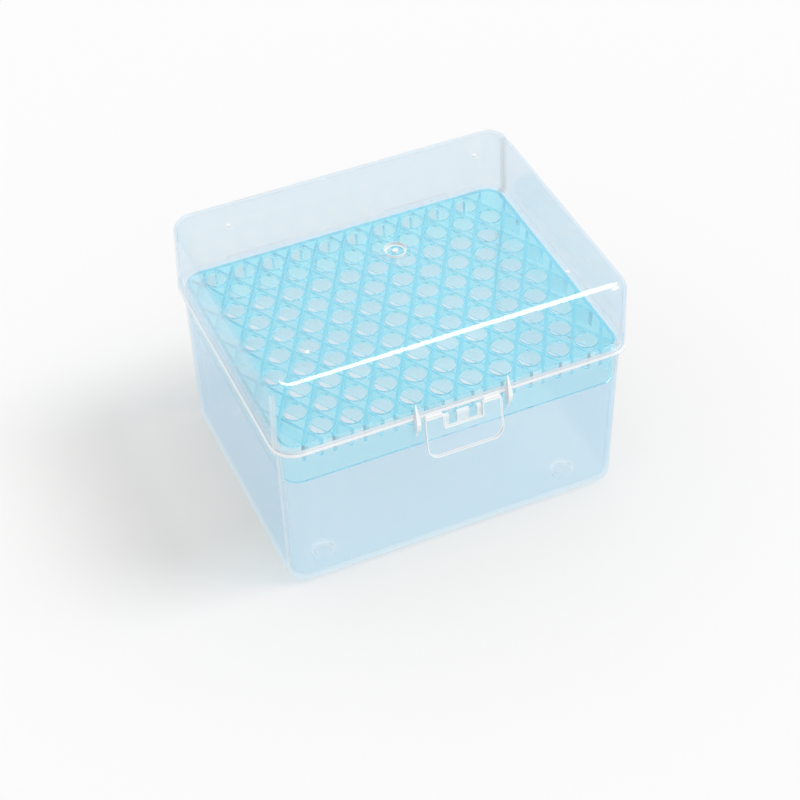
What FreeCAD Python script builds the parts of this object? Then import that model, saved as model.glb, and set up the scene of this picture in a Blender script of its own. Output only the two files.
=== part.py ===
import FreeCAD, Part
import math
import os

import Sketcher
from FreeCAD import Rotation, Vector

# Rack box for 1 ml pipette tips, in millimetres. The frame has +X to the right along the front,
# +Y to the rear hinge and +Z up, with its origin on the table under the middle of the outline.
# Each piece is drawn about the middle of the box, and its placement moves it to that origin.

DIMENSIONS = {
    # how far the box's middle lies behind the middle of its outline, which the latch's foot widens
    "outline_shift": 1.6,
    # base: a drafted tub with a flange under the parting line
    "floor_z": 1.0,
    "floor_thick": 1.3,
    "base_half_x": 60.3,
    "base_half_y": 48.25,
    "base_corner": 6.9,
    "base_draft": 0.0125,
    "base_edge": 2.4,
    "lip_z": 64.0,
    "wall_thick": 1.1,
    "wall_root_y": 48.3,
    "ledge_z": 47.2,
    "ledge_wide": 0.9,
    "inner_edge": 1.2,
    "flange_z": 61.0,
    "parting_z": 62.0,
    "rim_half_x": 62.8,
    "rim_half_y": 50.75,
    "rim_corner": 8.3,
    "foot_x": 45.2,
    "foot_y": 36.5,
    "foot_radius": 4.2,
    "foot_cup_radius": 3.2,
    "foot_thick": 1.1,
    # catch blocks at the front of the base, inside the notch of the latch
    "catch_root_z": 58.6,
    "catch_tip_z": 56.2,
    "catch_bevel": 0.2,
    "catch_face_y": 51.85,
    "catch_face_z": 60.4,
    "middle_catch_wide": 4.3,
    "side_catch_x": 5.65,
    "side_catch_wide": 1.5,
    # guard fins beside the latch, which taper to a tip on the wall
    "fin_x": 16.1,
    "fin_half": 0.75,
    "fin_reach_y": 53.6,
    "fin_land_half": 0.7,
    "fin_land_y": 53.3,
    "upper_land_z": 63.6,
    "upper_tip_half": 0.12,
    "upper_tip_y": 50.3,
    "upper_tip_z": 69.7,
    "upper_root_y": 49.9,
    "lower_land_z": 59.5,
    "lower_tip_half": 0.5,
    "lower_tip_y": 49.3,
    "lower_tip_z": 51.7,
    # rear hinge: thin strips from the base's flange to the lid's rim
    "hinge_x": 30.0,
    "hinge_long": 24.0,
    "hinge_y": 51.6,
    "hinge_foot_thick": 0.5,
    "hinge_relief": 0.25,
    # lid
    "lid_z": 89.0,
    "lid_half_x": 62.5,
    "lid_half_y": 50.45,
    "lid_corner": 8.0,
    "lid_draft": 0.0319,
    "lid_thick": 1.2,
    "lid_edge": 4.2,
    "bead_height": 0.75,
    "pip_x": 45.1,
    "pip_y": 34.9,
    "pip_radius": 0.75,
    "pip_height": 0.4,
    "gate_radius": 3.6,
    "gate_depth": 1.2,
    "gate_nub_radius": 0.95,
    "gate_nub_height": 0.7,
    # latch: a flared tab on a thin web
    "latch_half_x": 13.5,
    "latch_thick": 1.1,
    "latch_top_z": 61.8,
    "latch_low_z": 46.7,
    "bend_radius": 160.0,
    "bend_y": 210.25,
    "bend_z": 83.9,
    "latch_corner": 4.0,
    "shoulder_corner": 0.6,
    "notch_half_x": 6.6,
    "notch_z": 56.8,
    "pivot_y": 51.45,
    "pivot_z": 62.25,
    "pivot_radius": 0.4,
    "pivot_play": 0.06,
    "web_x": 10.2,
    "web_long": 5.6,
    "web_thick": 0.36,
    "web_root": 0.3,
    "seat_long": 6.0,
    "seat_top_z": 63.0,
    "seat_root_y": 50.0,
    # rack
    "rack_half_x": 59.6,
    "rack_half_y": 47.55,
    "rack_corner": 6.2,
    "rack_draft": 0.012,
    "rack_edge": 0.6,
    "deck_z": 63.3,
    "deck_thick": 1.2,
    "skirt_thick": 1.2,
    "rib_z": 55.9,
    "rib_thick": 1.0,
    "hole_pitch": 10.5,
    "hole_radius": 3.95,
    # how far a cutting outline runs past the material that it cuts
    "overcut": 1.0,
}

# the holes stand in level rows, each shifted against the next, so that slanted rows run at 60 degrees
HOLES_PER_ROW = 10
ROWS = 10
ROW_STAGGER = 0.25
ROW_ANGLE = 60
SINE_60 = math.sin(math.radians(ROW_ANGLE))
# ribs in each slanted family, by their angle to the rows
RIB_COUNTS = {ROW_ANGLE: 16, 180 - ROW_ANGLE: 17}

os.makedirs("parts", exist_ok=True)
doc = FreeCAD.newDocument("tip_box")
sheet = doc.addObject("Spreadsheet::Sheet", "dims")
for row, (alias, size) in enumerate(DIMENSIONS.items(), start=1):
    sheet.set(f"A{row}", alias)
    sheet.set(f"B{row}", str(size))
    sheet.setAlias(f"B{row}", alias)
doc.recompute()


class Size:
    """A number together with the formula of sheet cells that gives it."""

    def __init__(self, number, formula):
        self.number = number
        self.formula = formula

    def __add__(self, other):
        other = as_size(other)
        return Size(self.number + other.number, f"({self.formula} + {other.formula})")

    def __sub__(self, other):
        other = as_size(other)
        return Size(self.number - other.number, f"({self.formula} - {other.formula})")

    def __mul__(self, other):
        other = as_size(other)
        return Size(self.number * other.number, f"({self.formula} * {other.formula})")

    def __truediv__(self, other):
        other = as_size(other)
        return Size(self.number / other.number, f"({self.formula} / {other.formula})")

    def __neg__(self):
        return as_size(0) - self


def as_size(thing):
    return thing if isinstance(thing, Size) else Size(float(thing), repr(float(thing)))


class Cells:
    """The sheet's cells as attributes: cells.floor_z is the Size of that cell."""

    def __getattr__(self, alias):
        return Size(DIMENSIONS[alias], f"dims.{alias}")


cells = Cells()


def bind(thing, path, size):
    thing.setExpression(path, as_size(size).formula)


def origin_feature(body, role):
    return next(part for part in body.Origin.OriginFeatures if part.Role == role)


def new_body(name):
    return doc.addObject("PartDesign::Body", name)


def new_sketch(body, name, plane, offset):
    """A sketch on one of the body's origin planes, moved along the plane's normal."""
    sketch = body.newObject("Sketcher::SketchObject", name)
    sketch.AttachmentSupport = (origin_feature(body, plane), "")
    sketch.MapMode = "FlatFace"
    bind(sketch, "AttachmentOffset.Base.z", offset)
    return sketch


def hold(sketch, kind, curve, end, size):
    """Dimension a point of the sketch from the sketch's own origin."""
    index = sketch.addConstraint(Sketcher.Constraint(kind, -1, 1, curve, end, as_size(size).number))
    bind(sketch, f"Constraints[{index}]", size)


def set_radius(sketch, curve, size):
    index = sketch.addConstraint(Sketcher.Constraint("Radius", curve, as_size(size).number))
    bind(sketch, f"Constraints[{index}]", size)


def rounded_outline(body, name, z, half_x, half_y, corner):
    """A rectangle with round corners, centred on the Z axis, in a level plane."""
    sketch = new_sketch(body, name, "XY_Plane", z)
    hx, hy, r = half_x.number, half_y.number, as_size(corner).number
    middles = [(hx - r, -hy + r), (hx - r, hy - r), (-hx + r, hy - r), (-hx + r, -hy + r)]
    for quarter, (x, y) in enumerate(middles):
        start = (quarter - 1) * math.pi / 2
        circle = Part.Circle(Vector(x, y, 0), Vector(0, 0, 1), r)
        sketch.addGeometry(Part.ArcOfCircle(circle, start, start + math.pi / 2))
    arcs = [sketch.Geometry[i] for i in range(4)]
    for quarter in range(4):
        here, after = arcs[quarter], arcs[(quarter + 1) % 4]
        side = sketch.addGeometry(Part.LineSegment(here.EndPoint, after.StartPoint))
        sketch.addConstraint(Sketcher.Constraint("Tangent", quarter, 2, side, 1))
        sketch.addConstraint(Sketcher.Constraint("Tangent", side, 2, (quarter + 1) % 4, 1))
        sketch.addConstraint(Sketcher.Constraint("Vertical" if quarter % 2 == 0 else "Horizontal", side))
        if quarter:
            sketch.addConstraint(Sketcher.Constraint("Equal", 0, quarter))
    set_radius(sketch, 0, corner)
    right, rear, left, front = 4, 5, 6, 7
    hold(sketch, "DistanceX", right, 1, half_x)
    hold(sketch, "DistanceY", rear, 1, half_y)
    hold(sketch, "DistanceX", left, 1, -half_x)
    hold(sketch, "DistanceY", front, 1, -half_y)
    return sketch


def profile(body, name, plane, offset, corners):
    """A closed outline of straight sides through corners given as pairs of sizes."""
    sketch = new_sketch(body, name, plane, offset)
    points = [Vector(as_size(x).number, as_size(y).number, 0) for x, y in corners]
    for here, after in zip(points, points[1:] + points[:1]):
        sketch.addGeometry(Part.LineSegment(here, after))
    for side, (x, y) in enumerate(corners):
        following = (side + 1) % len(corners)
        sketch.addConstraint(Sketcher.Constraint("Coincident", side, 2, following, 1))
        hold(sketch, "DistanceX", side, 1, x)
        hold(sketch, "DistanceY", side, 1, y)
    return sketch


def circles(body, name, plane, offset, middles, radius):
    """Circles of one radius round middles given as pairs of sizes."""
    sketch = new_sketch(body, name, plane, offset)
    for x, y in middles:
        x, y = as_size(x), as_size(y)
        middle = Vector(x.number, y.number, 0)
        index = sketch.addGeometry(Part.Circle(middle, Vector(0, 0, 1), as_size(radius).number))
        set_radius(sketch, index, radius)
        if x.number == 0 and y.number == 0:
            sketch.addConstraint(Sketcher.Constraint("Coincident", index, 3, -1, 1))
        else:
            hold(sketch, "DistanceX", index, 3, x)
            hold(sketch, "DistanceY", index, 3, y)
    return sketch


def pad(body, sketch, length, slope=None, symmetric=False):
    """Add the sketch's outline, with an optional outward slope in mm per mm."""
    feature = body.newObject("PartDesign::Pad", sketch.Name + "_pad")
    feature.Profile = sketch
    feature.SideType = "Symmetric" if symmetric else "One side"
    bind(feature, "Length", length)
    if slope is not None:
        feature.setExpression("TaperAngle", f"atan({as_size(slope).formula})")
    return feature


def pocket(body, sketch, length, slope=None, symmetric=False, up=False):
    """Cut the sketch's outline downwards, or upwards, and check that it takes material away."""
    doc.recompute()
    before = body.Shape.Volume
    feature = body.newObject("PartDesign::Pocket", sketch.Name + "_pocket")
    feature.Profile = sketch
    feature.SideType = "Symmetric" if symmetric else "One side"
    feature.Reversed = up
    bind(feature, "Length", length)
    if slope is not None:
        feature.setExpression("TaperAngle", f"atan({as_size(slope).formula})")
    doc.recompute()
    if not body.Shape.Volume < before:
        raise ValueError(f"{feature.Name} cuts nothing")
    return feature


def mirror_in_x(body, name, features):
    """Repeat the features on the other side of the YZ plane."""
    feature = body.newObject("PartDesign::Mirrored", name)
    feature.Originals = features
    feature.MirrorPlane = (origin_feature(body, "YZ_Plane"), "")
    body.Tip = feature
    return feature


def round_edges(body, name, radius, wanted):
    """Fillet every edge of the body's shape for which wanted(edge) holds."""
    doc.recompute()
    base = body.Tip
    names = [f"Edge{i}" for i, edge in enumerate(base.Shape.Edges, start=1) if wanted(edge)]
    feature = body.newObject("PartDesign::Fillet", name)
    feature.Base = (base, names)
    bind(feature, "Radius", radius)
    doc.recompute()
    return feature


def edge_is_level(edge, z, tolerance=0.02):
    box = edge.BoundBox
    return abs(box.ZMin - z) < tolerance and abs(box.ZMax - z) < tolerance


def web_corners(y, low_z):
    """Side view of a thin upright web that ends on the line it bends about."""
    half = cells.web_thick / 2
    return [(y - half, low_z), (y + half, low_z), (y + half, cells.pivot_z), (y - half, cells.pivot_z)]


def seat_corners(root_y, face_y):
    """Side view of the block on the lid's rim that a web's bead turns in."""
    c = cells
    return [(root_y, c.parting_z), (face_y, c.parting_z), (face_y, c.seat_top_z), (root_y, c.seat_top_z)]


def fin(body, name, root_y, sections):
    """A tapering blade on the front wall, lofted through level sections of (z, half width, reach)."""
    sketches = []
    for number, (z, half, reach_y) in enumerate(sections):
        left, right = cells.fin_x - half, cells.fin_x + half
        corners = [(left, -root_y), (left, -reach_y), (right, -reach_y), (right, -root_y)]
        sketches.append(profile(body, f"{name}_{number}", "XY_Plane", z, corners))
    feature = body.newObject("PartDesign::AdditiveLoft", name)
    feature.Profile = sketches[0]
    feature.Sections = sketches[1:]
    feature.Ruled = True
    return feature


def make_base():
    c = cells
    body = new_body("base")
    tall = c.lip_z - c.floor_z
    outline = rounded_outline(body, "tub_outline", c.floor_z, c.base_half_x, c.base_half_y, c.base_corner)
    pad(body, outline, tall, slope=c.base_draft)
    round_edges(body, "bottom_edge", c.base_edge, lambda e: edge_is_level(e, DIMENSIONS["floor_z"]))

    flange = rounded_outline(body, "flange", c.flange_z, c.rim_half_x, c.rim_half_y, c.rim_corner)
    pad(body, flange, c.parting_z - c.flange_z)

    corners = [(c.foot_x * sx, c.foot_y * sy) for sx in (-1, 1) for sy in (-1, 1)]
    feet = circles(body, "feet", "XY_Plane", 0, corners, c.foot_radius)
    pad(body, feet, c.floor_z + c.floor_thick / 2)

    # catch blocks: one in the middle and one at each side of the latch's notch
    catch = [
        (-c.wall_root_y, c.catch_root_z),
        (-c.catch_face_y + c.catch_bevel, c.catch_tip_z),
        (-c.catch_face_y, c.catch_tip_z + c.catch_bevel),
        (-c.catch_face_y, c.catch_face_z),
        (-c.rim_half_y, c.flange_z),
        (-c.wall_root_y, c.flange_z),
    ]
    pad(body, profile(body, "middle_catch", "YZ_Plane", 0, catch), c.middle_catch_wide, symmetric=True)
    side_catch = pad(body, profile(body, "side_catch", "YZ_Plane", c.side_catch_x, catch),
                     c.side_catch_wide, symmetric=True)

    lower_fin = fin(body, "lower_fin", c.wall_root_y, [
        (c.lower_tip_z, c.lower_tip_half, c.lower_tip_y),
        (c.lower_land_z, c.fin_land_half, c.fin_land_y),
        (c.parting_z, c.fin_half, c.fin_reach_y),
    ])

    # the rear strips: a foot on the flange, a thin web, and the bead that the lid turns on
    foot_top_z = c.flange_z + c.hinge_foot_thick
    foot_rear_y = c.hinge_y + c.web_thick / 2
    foot = [
        (c.wall_root_y, c.flange_z),
        (foot_rear_y, c.flange_z),
        (foot_rear_y, foot_top_z),
        (c.wall_root_y, foot_top_z),
    ]
    foot_pad = pad(body, profile(body, "hinge_foot", "YZ_Plane", c.hinge_x, foot), c.hinge_long,
                   symmetric=True)
    web = profile(body, "hinge_web", "YZ_Plane", c.hinge_x, web_corners(c.hinge_y, c.flange_z))
    web_pad = pad(body, web, c.hinge_long, symmetric=True)
    bead = circles(body, "hinge_bead", "YZ_Plane", c.hinge_x, [(c.hinge_y, c.pivot_z)], c.pivot_radius)
    bead_pad = pad(body, bead, c.hinge_long, symmetric=True)
    mirror_in_x(body, "other_side", [side_catch, lower_fin, foot_pad, web_pad, bead_pad])

    # the rack's seat, then the narrower cavity under it
    recess_half_x = c.base_half_x + c.base_draft * (c.ledge_z - c.floor_z) - c.wall_thick
    recess_half_y = c.base_half_y + c.base_draft * (c.ledge_z - c.floor_z) - c.wall_thick
    recess = rounded_outline(body, "rack_seat", c.ledge_z, recess_half_x, recess_half_y,
                             c.base_corner - c.wall_thick)
    pocket(body, recess, c.lip_z - c.ledge_z + c.overcut, slope=c.base_draft, up=True)
    wall = c.wall_thick + c.ledge_wide
    cavity = rounded_outline(body, "cavity", c.floor_z + c.floor_thick, c.base_half_x - wall,
                             c.base_half_y - wall, c.base_corner - wall)
    pocket(body, cavity, c.ledge_z - c.floor_z, slope=c.base_draft, up=True)
    floor_top = DIMENSIONS["floor_z"] + DIMENSIONS["floor_thick"]
    round_edges(body, "inner_edge_round", c.inner_edge, lambda e: edge_is_level(e, floor_top))
    cups = circles(body, "foot_cups", "XY_Plane", c.foot_thick, corners, c.foot_cup_radius)
    pocket(body, cups, c.floor_z + c.floor_thick, up=True)
    return body


def web_seat(body, name, x, y, face_y, long):
    """A seat on the rim with a groove round the line at y that the web's bead turns about."""
    c = cells
    root_y = c.seat_root_y if y.number > 0 else -c.seat_root_y
    seat = pad(body, profile(body, name, "YZ_Plane", x, seat_corners(root_y, face_y)), long, symmetric=True)
    groove = circles(body, name + "_groove", "YZ_Plane", x, [(y, c.pivot_z)],
                     c.pivot_radius + c.pivot_play)
    return [seat, pocket(body, groove, long + c.overcut, symmetric=True)]


def make_lid():
    c = cells
    body = new_body("lid")
    tall = c.lid_z - c.parting_z
    outline = rounded_outline(body, "cover_outline", c.parting_z, c.lid_half_x, c.lid_half_y, c.lid_corner)
    pad(body, outline, tall, slope=-c.lid_draft)
    round_edges(body, "top_edge", c.lid_edge, lambda e: edge_is_level(e, DIMENSIONS["lid_z"]))
    bead = rounded_outline(body, "rim_bead", c.parting_z, c.rim_half_x, c.rim_half_y, c.rim_corner)
    pad(body, bead, c.bead_height)

    # seats of the latch's web at the front and of the hinge strips at the rear, and the upper fin
    latch_seat = web_seat(body, "latch_seat", c.web_x, -c.pivot_y, -c.pivot_y, c.seat_long)
    hinge_seat = web_seat(body, "hinge_seat", c.hinge_x, c.hinge_y, c.hinge_y - c.hinge_relief,
                          c.hinge_long)
    upper_fin = fin(body, "upper_fin", c.upper_root_y, [
        (c.parting_z, c.fin_half, c.fin_reach_y),
        (c.upper_land_z, c.fin_land_half, c.fin_land_y),
        (c.upper_tip_z, c.upper_tip_half, c.upper_tip_y),
    ])
    mirror_in_x(body, "other_side_of_lid", latch_seat + hinge_seat + [upper_fin])

    # inside of the cover
    inside = rounded_outline(body, "inside", c.parting_z, c.lid_half_x - c.lid_thick,
                             c.lid_half_y - c.lid_thick, c.lid_corner - c.lid_thick)
    pocket(body, inside, tall - c.lid_thick, slope=-c.lid_draft, up=True)
    ceiling = DIMENSIONS["lid_z"] - DIMENSIONS["lid_thick"]
    round_edges(body, "inner_top_edge", c.lid_edge - c.lid_thick, lambda e: edge_is_level(e, ceiling))

    # gate recess with its nub, and the four pips
    boss = circles(body, "gate_boss", "XY_Plane", c.lid_z - c.lid_thick - c.gate_depth, [(0, 0)],
                   c.gate_radius + c.lid_thick)
    pad(body, boss, c.gate_depth + c.lid_thick / 2)
    gate = circles(body, "gate_recess", "XY_Plane", c.lid_z, [(0, 0)], c.gate_radius)
    pocket(body, gate, c.gate_depth)
    nub = circles(body, "gate_nub", "XY_Plane", c.lid_z - c.gate_depth, [(0, 0)], c.gate_nub_radius)
    pad(body, nub, c.gate_nub_height)
    corners = [(c.pip_x * sx, c.pip_y * sy) for sx in (-1, 1) for sy in (-1, 1)]
    pips = circles(body, "pips", "XY_Plane", c.lid_z - c.pip_height, corners, c.pip_radius)
    pad(body, pips, c.pip_height * 2)
    return body


def tab_side(body, name):
    """Side view of the tab: two arcs about one middle, cut level at the top and at the foot."""
    c = cells
    sketch = new_sketch(body, name, "YZ_Plane", 0)
    middle = Vector(-DIMENSIONS["bend_y"], DIMENSIONS["bend_z"], 0)
    arcs = []
    for radius in (c.bend_radius - c.latch_thick / 2, c.bend_radius + c.latch_thick / 2):
        low, high = (
            math.asin((DIMENSIONS[level] - middle.y) / radius.number)
            for level in ("latch_low_z", "latch_top_z")
        )
        circle = Part.Circle(middle, Vector(0, 0, 1), radius.number)
        arc = sketch.addGeometry(Part.ArcOfCircle(circle, low, high))
        arcs.append(arc)
        set_radius(sketch, arc, radius)
    outer, inner = arcs
    hold(sketch, "DistanceX", outer, 3, -c.bend_y)
    hold(sketch, "DistanceY", outer, 3, c.bend_z)
    sketch.addConstraint(Sketcher.Constraint("Coincident", inner, 3, outer, 3))
    for end, level in ((1, c.latch_low_z), (2, c.latch_top_z)):
        points = [sketch.getPoint(arc, end) for arc in arcs]
        cap = sketch.addGeometry(Part.LineSegment(*points))
        sketch.addConstraint(Sketcher.Constraint("Coincident", cap, 1, outer, end))
        sketch.addConstraint(Sketcher.Constraint("Coincident", cap, 2, inner, end))
        sketch.addConstraint(Sketcher.Constraint("Horizontal", cap))
        hold(sketch, "DistanceY", outer, end, level)
    return sketch


def edge_runs_across(edge, x, z):
    """Whether an edge crosses the tab's thickness at +-x and at height z."""
    box = edge.BoundBox
    return box.XLength < 0.01 and abs(abs(box.Center.x) - x) < 0.01 and edge_is_level(edge, z)


def make_latch():
    c, d = cells, DIMENSIONS
    body = new_body("latch")
    pad(body, tab_side(body, "tab"), c.latch_half_x * 2, symmetric=True)
    round_edges(body, "foot_corners", c.latch_corner,
                lambda e: edge_runs_across(e, d["latch_half_x"], d["latch_low_z"]))
    notch = [
        (-c.notch_half_x, c.notch_z),
        (c.notch_half_x, c.notch_z),
        (c.notch_half_x, c.latch_top_z + c.overcut),
        (-c.notch_half_x, c.latch_top_z + c.overcut),
    ]
    notch_middle_y = c.pivot_y + c.latch_thick / 2
    notch_deep = (c.latch_thick + c.overcut) * 2
    pocket(body, profile(body, "notch", "XZ_Plane", notch_middle_y, notch), notch_deep, symmetric=True)
    round_edges(body, "shoulder_corners", c.shoulder_corner,
                lambda e: edge_runs_across(e, d["latch_half_x"], d["latch_top_z"])
                or edge_runs_across(e, d["notch_half_x"], d["latch_top_z"])
                or edge_runs_across(e, d["notch_half_x"], d["notch_z"]))

    # the web on each shoulder, ending in the round bead that turns in the lid's groove
    web = profile(body, "web", "YZ_Plane", c.web_x, web_corners(-c.pivot_y, c.latch_top_z - c.web_root))
    web_pad = pad(body, web, c.web_long, symmetric=True)
    bead = circles(body, "web_bead", "YZ_Plane", c.web_x, [(-c.pivot_y, c.pivot_z)], c.pivot_radius)
    bead_pad = pad(body, bead, c.web_long, symmetric=True)
    mirror_in_x(body, "other_shoulder", [web_pad, bead_pad])
    return body


def make_rack_shell():
    """The rack's deck and drafted skirt, without ribs and holes."""
    c = cells
    body = new_body("rack_shell")
    drop = (c.deck_z - c.ledge_z) * c.rack_draft
    outline = rounded_outline(body, "skirt_outline", c.ledge_z, c.rack_half_x - drop,
                              c.rack_half_y - drop, c.rack_corner)
    pad(body, outline, c.deck_z - c.ledge_z, slope=c.rack_draft)
    round_edges(body, "deck_edge", c.rack_edge, lambda e: edge_is_level(e, DIMENSIONS["deck_z"]))
    inset = drop + c.skirt_thick
    inside = rounded_outline(body, "skirt_inside", c.ledge_z, c.rack_half_x - inset,
                             c.rack_half_y - inset, c.rack_corner - c.skirt_thick)
    pocket(body, inside, c.deck_z - c.deck_thick - c.ledge_z, slope=c.rack_draft, up=True)
    return body


def make_ribs():
    """Two crossing families of straight ribs, each midway between the holes of a slanted row."""
    c = cells
    overlap = c.skirt_thick / 2
    zone = new_body("rib_zone")
    outline = rounded_outline(zone, "rib_zone_outline", c.rib_z, c.rack_half_x - c.skirt_thick,
                              c.rack_half_y - c.skirt_thick, c.rack_corner - c.skirt_thick / 2)
    tall = c.deck_z - c.deck_thick - c.rib_z + overlap
    pad(zone, outline, tall)
    bars = []
    long = c.rack_half_x * 2
    for angle, count in RIB_COUNTS.items():
        cosine, sine = math.cos(math.radians(angle)), math.sin(math.radians(angle))
        for number in range(count):
            bar = doc.addObject("Part::Box", f"rib_{angle}_{number}")
            bar.Placement.Rotation = Rotation(Vector(0, 0, 1), angle)
            bind(bar, "Length", long)
            bind(bar, "Width", c.rib_thick)
            bind(bar, "Height", tall)
            middle_x = c.hole_pitch * (number - (count - 1) / 2)
            bind(bar, "Placement.Base.x", middle_x - long * (cosine / 2) + c.rib_thick * (sine / 2))
            bind(bar, "Placement.Base.y", -long * (sine / 2) - c.rib_thick * (cosine / 2))
            bind(bar, "Placement.Base.z", c.rib_z)
            bars.append(bar)
    lattice = doc.addObject("Part::MultiFuse", "rib_lattice")
    lattice.Shapes = bars
    ribs = doc.addObject("Part::Common", "ribs")
    ribs.Base, ribs.Tool = lattice, zone
    return ribs


def hole_middle(row, column):
    """Rows are shifted a quarter pitch to the right and to the left in turn."""
    c = cells
    shift = ROW_STAGGER if row % 2 == 0 else -ROW_STAGGER
    x = c.hole_pitch * (column - (HOLES_PER_ROW - 1) / 2 + shift)
    y = c.hole_pitch * (SINE_60 * (row - (ROWS - 1) / 2))
    return x, y


def make_rack():
    c = cells
    body = doc.addObject("Part::MultiFuse", "rack_with_ribs")
    body.Shapes = [make_rack_shell(), make_ribs()]
    holes = []
    for row in range(ROWS):
        for column in range(HOLES_PER_ROW):
            hole = doc.addObject("Part::Cylinder", f"hole_{row}_{column}")
            x, y = hole_middle(row, column)
            bind(hole, "Radius", c.hole_radius)
            bind(hole, "Height", c.deck_z - c.ledge_z)
            bind(hole, "Placement.Base.x", x)
            bind(hole, "Placement.Base.y", y)
            bind(hole, "Placement.Base.z", c.rib_z)
            holes.append(hole)
    tools = doc.addObject("Part::Compound", "holes")
    tools.Links = holes
    rack = doc.addObject("Part::Cut", "rack")
    rack.Base, rack.Tool = body, tools
    return rack


def check_objects(pieces):
    faults = [item.Name for item in doc.Objects if {"Invalid", "Error"} & set(item.State)]
    if faults:
        raise ValueError(f"failed objects: {faults}")
    for piece in pieces:
        if piece.Shape.isNull() or not piece.Shape.isValid():
            raise ValueError(f"{piece.Label} has no valid shape")


pieces = [make_base(), make_rack(), make_lid(), make_latch()]
for piece in pieces:
    bind(piece, "Placement.Base.y", cells.outline_shift)
doc.recompute()
check_objects(pieces)
for piece in pieces:
    print(piece.Label, f"{piece.Shape.Volume:.0f} mm3, {len(piece.Shape.Solids)} solid")
    piece.Shape.exportStep(f"parts/{piece.Label}.step")
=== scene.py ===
import math

import bpy
from mathutils import Matrix, Vector


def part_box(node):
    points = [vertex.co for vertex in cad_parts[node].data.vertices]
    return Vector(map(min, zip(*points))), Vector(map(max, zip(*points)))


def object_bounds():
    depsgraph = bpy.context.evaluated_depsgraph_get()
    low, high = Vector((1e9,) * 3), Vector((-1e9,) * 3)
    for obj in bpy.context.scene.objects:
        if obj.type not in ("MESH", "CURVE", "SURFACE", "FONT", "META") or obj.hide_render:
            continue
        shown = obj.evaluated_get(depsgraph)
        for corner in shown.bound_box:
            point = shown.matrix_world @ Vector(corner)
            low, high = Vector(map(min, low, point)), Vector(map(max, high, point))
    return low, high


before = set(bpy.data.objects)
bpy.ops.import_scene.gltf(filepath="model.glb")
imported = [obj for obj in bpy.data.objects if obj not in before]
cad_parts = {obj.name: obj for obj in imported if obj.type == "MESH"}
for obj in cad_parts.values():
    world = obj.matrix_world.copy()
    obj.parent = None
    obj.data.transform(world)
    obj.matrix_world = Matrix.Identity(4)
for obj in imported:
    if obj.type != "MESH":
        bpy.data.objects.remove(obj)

# ---------------------------------------------------------------- the frame, in metres
MM = 0.001
cad_low, cad_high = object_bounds()
RACK_LOW, RACK_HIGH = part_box("rack")
LID_LOW, LID_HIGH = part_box("lid")
LATCH_LOW, LATCH_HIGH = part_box("latch")
MIDDLE_Y = (RACK_LOW.y + RACK_HIGH.y) / 2
PARTING_Z = LID_LOW.z

# ---------------------------------------------------------------- where white is painted on the clear plastic as milkiness, standing in for highlights and light scattered in thick or curved plastic
# the bead along the lid's lower edge, painted white as its highlight and scattered light, and how far a
# face may turn inward and still count
RIM_Z = (PARTING_Z + 0.02 * MM, PARTING_Z + 1.1 * MM)
INWARD_SLACK = 0.01 * MM
# the fins and catches, painted white for the light scattered in their thick plastic, stand further forward
# than this from the middle, and the white fades below the rim
FORMS_FORWARD = 50.8 * MM
FORMS_FADE_Z = (PARTING_Z - 4.0 * MM, PARTING_Z)
FORMS_LOW_PAINTED_GLOW = 0.6
# the soft band of painted white at a front corner, standing in for light scattered along the curve, by the
# square of the normal's x, and by its z
CORNER_RISE = (0.74, 0.90)
CORNER_FALL = (0.995, 0.95)
CORNER_UPRIGHT = (0.2, 0.1)
# round marks, painted lighter as the highlights they catch: the base's hollow feet, and on top of the lid
# its pips and the gate's dimple
FOOT_X, FOOT_Y = 45.2 * MM, 36.5 * MM
FOOT_RING = (3.1 * MM, 4.3 * MM)
FOOT_TOP_Z = cad_low.z + 3.0 * MM
PIPS_Z = LID_HIGH.z - 0.35 * MM
GATE_RING = (2.9 * MM, 3.75 * MM)
GATE_NUB = 1.0 * MM
GATE_LOW_Z = LID_HIGH.z - 2.6 * MM
# the latch's tab: its outline, its notch and the width of the painted white line along its edges, standing
# in for the light its edges show
TAB_CORNER = 4.0 * MM
TAB_TOP_Z = PARTING_Z - 0.2 * MM
NOTCH_HALF_X = 6.6 * MM
NOTCH_Z = PARTING_Z - 5.2 * MM
TAB_LINE = (-0.5 * MM, -0.15 * MM)

# ---------------------------------------------------------------- plastics
# a dye's density is per metre of plastic; the clear parts bend light as a thin wall does
PLASTIC_IOR = 1.49
THIN_WALL_IOR = 1.012
GLOSS_ROUGHNESS = 0.04
WHITE = (1.0, 1.0, 1.0)
LID_COLOUR = (0.95, 0.965, 0.98)
LID_DYE = (0.0, 0.54, 0.88)
LID_DENSITY = 34.0
# the base is bluer than the lid: partly its own tint, partly painted light, the cyan light that reaches it
# through the rack
BASE_COLOUR = (0.87, 0.94, 0.98)
BASE_DYE = (0.0, 0.58, 0.88)
BASE_DENSITY = 35.0
# the rack: its dye, and for its ribs and its top the colour and the share of light let through; the ribs
# and all faces but the top get a near-white, clearer copy, painted lighter so that shade inside the rack
# does not turn them grey
BLUE_DYE = (0.0, 0.93, 0.99)
BLUE_DENSITY = 220.0
RIBS = ((0.93, 0.99, 1.0), 0.97)
DECK = ((0.42, 0.91, 1.0), 0.88)
DECK_SKIN = 0.3 * MM
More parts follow.
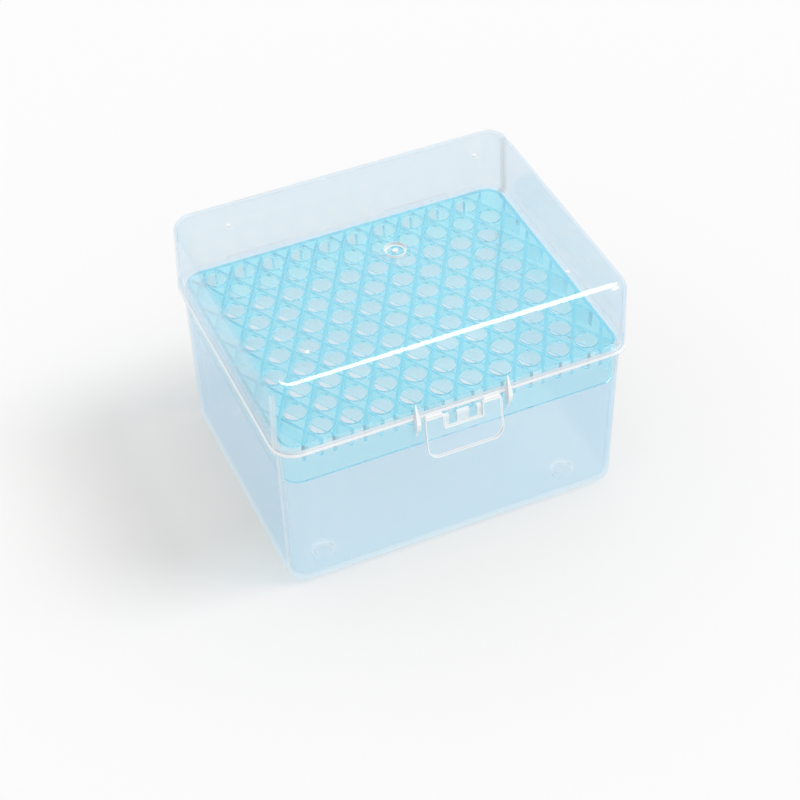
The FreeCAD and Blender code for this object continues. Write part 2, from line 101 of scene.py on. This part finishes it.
# tints of rays that pass straight through, and of those past so many surfaces
CLEAR_TINTS = {"Is Shadow Ray": (1.0, 0.98, 0.965), "Is Diffuse Ray": (1.0, 0.98, 0.965)}
CLEAR_DEEP = (5.5, (0.98, 0.99, 1.0))
BLUE_TINTS = {
    "Is Glossy Ray": (0.80, 0.97, 1.0),
    "Is Shadow Ray": (1.0, 0.83, 0.82),
    "Is Diffuse Ray": (1.0, 0.85, 0.84),
}
BLUE_DEEP = (8.5, (0.90, 0.98, 1.0))
# the faint waviness of moulded walls: waves per metre, octaves, depth and strength
CLEAR_WAVES = 60.0
BLUE_WAVES = 90.0
WAVE_OCTAVES = 2.0
WAVE_DEPTH = 0.2 * MM
WAVE_STRENGTH = 0.03
# the Mix node has several sockets of one name, so these are the numbers of its colour sockets
MIX_FACTOR, MIX_FIRST, MIX_SECOND, MIX_RESULT = 0, 6, 7, 2

# ---------------------------------------------------------------- camera, as the photograph was taken
CAMERA_AZIMUTH = math.radians(-22.736)
CAMERA_ELEVATION = math.radians(43.130)
CAMERA_ROLL = math.radians(-1.785)
CAMERA_DISTANCE = 702.9 * MM
CAMERA_LENS = 90.5
CAMERA_SENSOR = 36.0
CAMERA_CLIP = (0.01, 20.0)
AIM_HEIGHT = 21.25 * MM

# ---------------------------------------------------------------- light and floor
WORLD_LEVEL = 0.66
SUN_STRENGTH = 1.5
SUN_ANGLE = math.radians(28)
SUN_FROM = (1.1, -0.45, 1.3)
STRIP_POWER = 22.0
STRIP_SIZE = (0.9, 0.5)
STRIP_PLACE = (0.31, 0.33, 0.98)
STRIP_AIM = (0, 0, 0.05)
FLOOR_SIZE = 6.0
FLOOR_WHITE = (0.97, 0.97, 0.97)
FLOOR_SEEN_THROUGH = 0.75


# ---------------------------------------------------------------- helpers for node trees
def math_node(tree, operation, *inputs):
    """The output of a Math node whose inputs are numbers or other outputs."""
    node = tree.nodes.new("ShaderNodeMath")
    node.operation = operation
    for socket, value in zip(node.inputs, inputs):
        if isinstance(value, (int, float)):
            socket.default_value = value
        else:
            tree.links.new(value, socket)
    return node.outputs[0]


def product_of(tree, *values):
    result = values[0]
    for value in values[1:]:
        result = math_node(tree, "MULTIPLY", result, value)
    return result


def largest_of(tree, *values):
    result = values[0]
    for value in values[1:]:
        result = math_node(tree, "MAXIMUM", result, value)
    return result


def ramp(tree, value, start, end, low=0.0, high=1.0):
    """Smoothly from low at start to high at end."""
    node = tree.nodes.new("ShaderNodeMapRange")
    node.interpolation_type = "SMOOTHSTEP"
    for name, number in (("From Min", start), ("From Max", end), ("To Min", low), ("To Max", high)):
        node.inputs[name].default_value = number
    tree.links.new(value, node.inputs["Value"])
    return node.outputs["Result"]


def inside(tree, value, low, high):
    """1 where value lies between low and high."""
    return math_node(tree, "COMPARE", value, (low + high) / 2, (high - low) / 2)


def distance(tree, x, y):
    """How far (x, y) is from the origin."""
    squares = [math_node(tree, "MULTIPLY", part, part) for part in (x, y)]
    return math_node(tree, "SQRT", math_node(tree, "ADD", *squares))


def split(tree, vector):
    node = tree.nodes.new("ShaderNodeSeparateXYZ")
    tree.links.new(vector, node.inputs[0])
    return node.outputs


def from_middle(tree, place):
    """The point's x, y and z, with y counted from the middle of the box."""
    x, y, z = split(tree, place.outputs["Object"])
    return x, math_node(tree, "SUBTRACT", y, MIDDLE_Y), z


def blend(tree, factor, first, second):
    """A colour between two, by a mask."""
    mix = tree.nodes.new("ShaderNodeMix")
    mix.data_type = "RGBA"
    mix.inputs[MIX_FIRST].default_value = (*first, 1)
    mix.inputs[MIX_SECOND].default_value = (*second, 1)
    tree.links.new(factor, mix.inputs[MIX_FACTOR])
    return mix.outputs[MIX_RESULT]


def mix_shaders(tree, factor, first, second):
    mix = tree.nodes.new("ShaderNodeMixShader")
    tree.links.new(factor, mix.inputs[0])
    tree.links.new(first.outputs[0], mix.inputs[1])
    tree.links.new(second.outputs[0], mix.inputs[2])
    return mix


def node_material(name):
    """An empty node material, its tree and its output node."""
    material = bpy.data.materials.new(name)
    material.use_nodes = True
    tree = material.node_tree
    tree.nodes.clear()
    output = tree.nodes.new("ShaderNodeOutputMaterial")
    return material, tree, output


# ---------------------------------------------------------------- masks of painted light: 0 where clear, up to 1 where white is painted in for a highlight or for scattered light
def corner_band(tree, place):
    """A soft upright band of painted white where each front corner of the box turns into its end wall,
    standing in for light scattered along the curve.
    """
    x, y, z = split(tree, place.outputs["Normal"])
    across = math_node(tree, "MULTIPLY", x, x)
    rising = ramp(tree, across, *CORNER_RISE)
    falling = ramp(tree, across, *CORNER_FALL)
    upright = ramp(tree, math_node(tree, "ABSOLUTE", z), *CORNER_UPRIGHT)
    front = math_node(tree, "LESS_THAN", y, 0.0)
    return product_of(tree, rising, falling, upright, front)


def faces_out(tree, place):
    """1 on faces that look away from the box's middle, or straight up or down."""
    x, y, z = from_middle(tree, place)
    normal = split(tree, place.outputs["Normal"])
    across = math_node(tree, "MULTIPLY", x, normal[0])
    along = math_node(tree, "MULTIPLY", y, normal[1])
    return math_node(tree, "GREATER_THAN", math_node(tree, "ADD", across, along), -INWARD_SLACK)


def rim(tree, place):
    """1 on the outside of the bead along the lid's lower edge, where the two halves meet; there white is
    painted in as the bead's highlight and the light scattered in it.
    """
    x, y, z = from_middle(tree, place)
    return product_of(tree, inside(tree, z, *RIM_Z), faces_out(tree, place))


def small_forms(tree, place):
    """1 on the fins and catches above the rim, and less below it: painted white for the light scattered in
    their thick plastic.
    """
    x, y, z = from_middle(tree, place)
    forward = math_node(tree, "LESS_THAN", y, -FORMS_FORWARD)
    return product_of(tree, forward, ramp(tree, z, *FORMS_FADE_Z, FORMS_LOW_PAINTED_GLOW, 1.0))


def pip_and_gate_painted_highlights(tree, place):
    """1 on the pips and the gate's ring and nub on top of the lid, painted white as their highlights."""
    x, y, z = from_middle(tree, place)
    from_gate = distance(tree, x, y)
    nub = math_node(tree, "LESS_THAN", from_gate, GATE_NUB)
    gate = largest_of(tree, inside(tree, from_gate, *GATE_RING), nub)
    high = math_node(tree, "GREATER_THAN", z, GATE_LOW_Z)
    pips = math_node(tree, "GREATER_THAN", z, PIPS_Z)
    return largest_of(tree, pips, product_of(tree, gate, high))


def tab_edges(tree, place):
    """1 along the outline of the latch's tab and of its notch: a painted white line for the light its edges
    show.
    """
    x, y, z = from_middle(tree, place)
    x = math_node(tree, "ABSOLUTE", x)
    past_x = math_node(tree, "SUBTRACT", x, LATCH_HIGH.x - TAB_CORNER)
    past_z = math_node(tree, "SUBTRACT", LATCH_LOW.z + TAB_CORNER, z)
    beside = math_node(tree, "MAXIMUM", past_x, 0.0)
    below = math_node(tree, "MAXIMUM", past_z, 0.0)
    outline = math_node(tree, "SUBTRACT", distance(tree, beside, below), TAB_CORNER)
    top = math_node(tree, "SUBTRACT", z, TAB_TOP_Z)
    notch_side = math_node(tree, "SUBTRACT", NOTCH_HALF_X, x)
    notch_foot = math_node(tree, "SUBTRACT", z, NOTCH_Z)
    notch = math_node(tree, "MINIMUM", notch_side, notch_foot)
    return ramp(tree, largest_of(tree, outline, top, notch), *TAB_LINE)


# ---------------------------------------------------------------- masks of the parts that look different
def haze_free(tree, place):
    """1 where the base has no haze: its upright lip inside the lid, and the rings of its feet, left clear
    and white so that they show lighter, as painted highlights.
    """
    x, y, z = from_middle(tree, place)
    foot_x = math_node(tree, "SUBTRACT", math_node(tree, "ABSOLUTE", x), FOOT_X)
    foot_y = math_node(tree, "SUBTRACT", math_node(tree, "ABSOLUTE", y), FOOT_Y)
    ring = inside(tree, distance(tree, foot_x, foot_y), *FOOT_RING)
    feet = product_of(tree, ring, math_node(tree, "LESS_THAN", z, FOOT_TOP_Z))
    lip = math_node(tree, "GREATER_THAN", z, PARTING_Z)
    return largest_of(tree, lip, feet)


def deck_top(tree, place):
    """1 on the rack's flat top face."""
    z = split(tree, place.outputs["Object"])[2]
    return math_node(tree, "GREATER_THAN", z, RACK_HIGH.z - DECK_SKIN)


# ---------------------------------------------------------------- plastics
def see_through(tree, tint):
    clear = tree.nodes.new("ShaderNodeBsdfTransparent")
    clear.inputs["Color"].default_value = (*tint, 1)
    return clear


def let_through(tree, shader, tints, deep, deep_tint):
    """Rays of these kinds pass straight through the surface, each with its tint.

    So do rays that have already met more than deep surfaces."""
    path = tree.nodes.new("ShaderNodeLightPath")
    result = shader
    for ray, tint in tints.items():
        result = mix_shaders(tree, path.outputs[ray], result, see_through(tree, tint))
        if ray == "Is Glossy Ray":
            # a refracted ray counts as glossy too, and it meets the real surface
            result = mix_shaders(tree, path.outputs["Is Transmission Ray"], result, shader)
    late = math_node(tree, "GREATER_THAN", path.outputs["Ray Depth"], deep)
    return mix_shaders(tree, late, result, see_through(tree, deep_tint))


def moulded_bump(tree, shader, place, waves):
    """The faint waviness of a moulded wall, as bump."""
    noise = tree.nodes.new("ShaderNodeTexNoise")
    noise.inputs["Scale"].default_value = waves
    noise.inputs["Detail"].default_value = WAVE_OCTAVES
    bump = tree.nodes.new("ShaderNodeBump")
    bump.inputs["Strength"].default_value = WAVE_STRENGTH
    bump.inputs["Distance"].default_value = WAVE_DEPTH
    tree.links.new(place.outputs["Object"], noise.inputs["Vector"])
    tree.links.new(noise.outputs["Fac"], bump.inputs["Height"])
    tree.links.new(bump.outputs["Normal"], shader.inputs["Normal"])


def absorb(tree, output, dye, density):
    """Light loses colour with the way that it takes inside the plastic."""
    volume = tree.nodes.new("ShaderNodeVolumeAbsorption")
    volume.inputs["Color"].default_value = (*dye, 1)
    volume.inputs["Density"].default_value = density
    tree.links.new(volume.outputs[0], output.inputs["Volume"])


def milky_plastic_painted_glow(name, colour, through, haze, dye, density, masks, haze_free_mask=None):
    """Natural polypropylene: mostly clear with a faint milky veil, and white painted in by each mask times
    its strength, standing in for highlights and scattered light.
    """
    material, tree, output = node_material(name)
    place = tree.nodes.new("ShaderNodeTexCoord")
    shader = tree.nodes.new("ShaderNodeBsdfPrincipled")
    shader.inputs["Roughness"].default_value = haze
    shader.inputs["IOR"].default_value = THIN_WALL_IOR
    shader.inputs["Coat Weight"].default_value = 1.0
    shader.inputs["Coat Roughness"].default_value = GLOSS_ROUGHNESS
    shader.inputs["Coat IOR"].default_value = PLASTIC_IOR
    # painted light: white put in where the masks stand for highlights and light scattered in thick plastic
    white_painted_in = largest_of(tree, *(product_of(tree, mask(tree, place), strength) for mask, strength in masks))
    whiter = white_painted_in
    share = through
    if haze_free_mask:
        clearest = haze_free_mask(tree, place)
        whiter = largest_of(tree, white_painted_in, clearest)
        share = math_node(tree, "MULTIPLY_ADD", clearest, 1.0 - through, through)
    tree.links.new(blend(tree, whiter, colour, WHITE), shader.inputs["Base Color"])
    clear = product_of(tree, math_node(tree, "SUBTRACT", 1.0, white_painted_in), share)
    tree.links.new(clear, shader.inputs["Transmission Weight"])
    moulded_bump(tree, shader, place, CLEAR_WAVES)
    shown = let_through(tree, shader, CLEAR_TINTS, *CLEAR_DEEP)
    tree.links.new(shown.outputs[0], output.inputs["Surface"])
    absorb(tree, output, dye, density)
    return material


def dyed_plastic(name, roughness):
    """The rack's polypropylene, whose colour grows with the way that light takes inside."""
    material, tree, output = node_material(name)
    place = tree.nodes.new("ShaderNodeTexCoord")
    shader = tree.nodes.new("ShaderNodeBsdfPrincipled")
    shader.inputs["Roughness"].default_value = roughness
    shader.inputs["IOR"].default_value = PLASTIC_IOR
    rib_colour, rib_share = RIBS
    deck_colour, deck_share = DECK
    top = deck_top(tree, place)
    share = math_node(tree, "MULTIPLY_ADD", top, deck_share - rib_share, rib_share)
    tree.links.new(blend(tree, top, rib_colour, deck_colour), shader.inputs["Base Color"])
    tree.links.new(share, shader.inputs["Transmission Weight"])
    moulded_bump(tree, shader, place, BLUE_WAVES)
    shown = let_through(tree, shader, BLUE_TINTS, *BLUE_DEEP)
    tree.links.new(shown.outputs[0], output.inputs["Surface"])
    absorb(tree, output, BLUE_DYE, BLUE_DENSITY)
    return material


def paint(node, material):
    node.data.materials.clear()
    node.data.materials.append(material)


def paint_box():
    """Each piece gets its own plastic."""
    lid = milky_plastic_painted_glow(
        "clear_pp_lid",
        colour=LID_COLOUR,
        through=0.93,
        haze=0.2,
        dye=LID_DYE,
        density=LID_DENSITY,
        masks=((corner_band, 0.45), (rim, 0.85), (small_forms, 0.8), (pip_and_gate_painted_highlights, 0.8)),
    )
    base = milky_plastic_painted_glow(
        "clear_pp_base",
        colour=BASE_COLOUR,
        through=0.92,
        haze=0.2,
        dye=BASE_DYE,
        density=BASE_DENSITY,
        masks=((corner_band, 0.5), (small_forms, 0.8)),
        haze_free_mask=haze_free,
    )
    tab = milky_plastic_painted_glow(
        "clear_pp_tab",
        colour=LID_COLOUR,
        through=0.92,
        haze=0.1,
        dye=LID_DYE,
        density=LID_DENSITY,
        masks=((tab_edges, 0.85),),
    )
    paint(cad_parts["lid"], lid)
    paint(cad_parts["base"], base)
    paint(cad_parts["latch"], tab)
    paint(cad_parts["rack"], dyed_plastic("blue_pp", roughness=0.06))


# ---------------------------------------------------------------- camera, world, floor and lamps
def make_camera():
    back = Vector((
        math.sin(CAMERA_AZIMUTH) * math.cos(CAMERA_ELEVATION),
        -math.cos(CAMERA_AZIMUTH) * math.cos(CAMERA_ELEVATION),
        math.sin(CAMERA_ELEVATION),
    ))
    level_x = Vector((0, 0, 1)).cross(back).normalized()
    level_y = back.cross(level_x)
    cosine, sine = math.cos(CAMERA_ROLL), math.sin(CAMERA_ROLL)
    x_axis = level_x * cosine + level_y * sine
    y_axis = level_y * cosine - level_x * sine
    data = bpy.data.cameras.new("camera")
    data.lens = CAMERA_LENS
    data.sensor_width = CAMERA_SENSOR
    data.clip_start, data.clip_end = CAMERA_CLIP
    camera = bpy.data.objects.new("camera", data)
    turned = Matrix((x_axis, y_axis, back)).transposed().to_4x4()
    aim = Vector((0, MIDDLE_Y, cad_low.z + AIM_HEIGHT))
    camera.matrix_world = Matrix.Translation(aim + back * CAMERA_DISTANCE) @ turned
    bpy.context.scene.collection.objects.link(camera)
    bpy.context.scene.camera = camera


def white_background(tree, strength):
    background = tree.nodes.new("ShaderNodeBackground")
    background.inputs["Color"].default_value = (*WHITE, 1)
    background.inputs["Strength"].default_value = strength
    return background


def make_world():
    """Plain white where it is seen, and dimmer where it lights the object."""
    world = bpy.data.worlds.new("studio")
    bpy.context.scene.world = world
    world.use_nodes = True
    tree = world.node_tree
    tree.nodes.clear()
    output = tree.nodes.new("ShaderNodeOutputWorld")
    path = tree.nodes.new("ShaderNodeLightPath")
    rays = ("Is Camera Ray", "Is Glossy Ray", "Is Transmission Ray")
    seen = largest_of(tree, *(path.outputs[ray] for ray in rays))
    mix = mix_shaders(tree, seen, white_background(tree, WORLD_LEVEL), white_background(tree, 1.0))
    tree.links.new(mix.outputs[0], output.inputs[0])


def make_floor():
    """White and matt; seen through plastic it is part shaded floor, part plain white."""
    material, tree, output = node_material("floor_white")
    matt = tree.nodes.new("ShaderNodeBsdfDiffuse")
    matt.inputs["Color"].default_value = (*FLOOR_WHITE, 1)
    plain = tree.nodes.new("ShaderNodeEmission")
    plain.inputs["Strength"].default_value = 1.0
    path = tree.nodes.new("ShaderNodeLightPath")
    share = math_node(tree, "MULTIPLY", path.outputs["Is Transmission Ray"], FLOOR_SEEN_THROUGH)
    mix = mix_shaders(tree, share, matt, plain)
    tree.links.new(mix.outputs[0], output.inputs["Surface"])
    bpy.ops.mesh.primitive_plane_add(size=FLOOR_SIZE, location=(0, 0, cad_low.z))
    floor = bpy.context.object
    floor.name = "floor"
    paint(floor, material)


def add_lamp(data, place, direction, axis):
    """Puts a lamp at place, with this axis of its own turned along the direction."""
    lamp = bpy.data.objects.new(data.name, data)
    lamp.location = place
    lamp.rotation_mode = "QUATERNION"
    lamp.rotation_quaternion = direction.to_track_quat(axis, "Y")
    bpy.context.scene.collection.objects.link(lamp)
    return lamp


def make_key():
    """A broad sun from the right, in front and above, for the soft shadow on the left."""
    data = bpy.data.lights.new("key", "SUN")
    data.energy = SUN_STRENGTH
    data.angle = SUN_ANGLE
    add_lamp(data, (0, 0, 0), Vector(SUN_FROM), "Z")


def make_strip():
    """The strip high behind the box: it only makes the glint along the lid's front edge."""
    data = bpy.data.lights.new("rear_strip", "AREA")
    data.shape = "RECTANGLE"
    data.size, data.size_y = STRIP_SIZE
    data.energy = STRIP_POWER
    strip = add_lamp(data, STRIP_PLACE, Vector(STRIP_AIM) - Vector(STRIP_PLACE), "-Z")
    strip.visible_diffuse = False
    strip.visible_transmission = False
    lit_by_strip = bpy.data.collections.new("lit_by_strip")
    lit_by_strip.objects.link(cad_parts["lid"])
    strip.light_linking.receiver_collection = lit_by_strip


make_camera()
make_world()
make_floor()
make_key()
make_strip()
paint_box()

bpy.context.scene.view_settings.view_transform = "Standard"
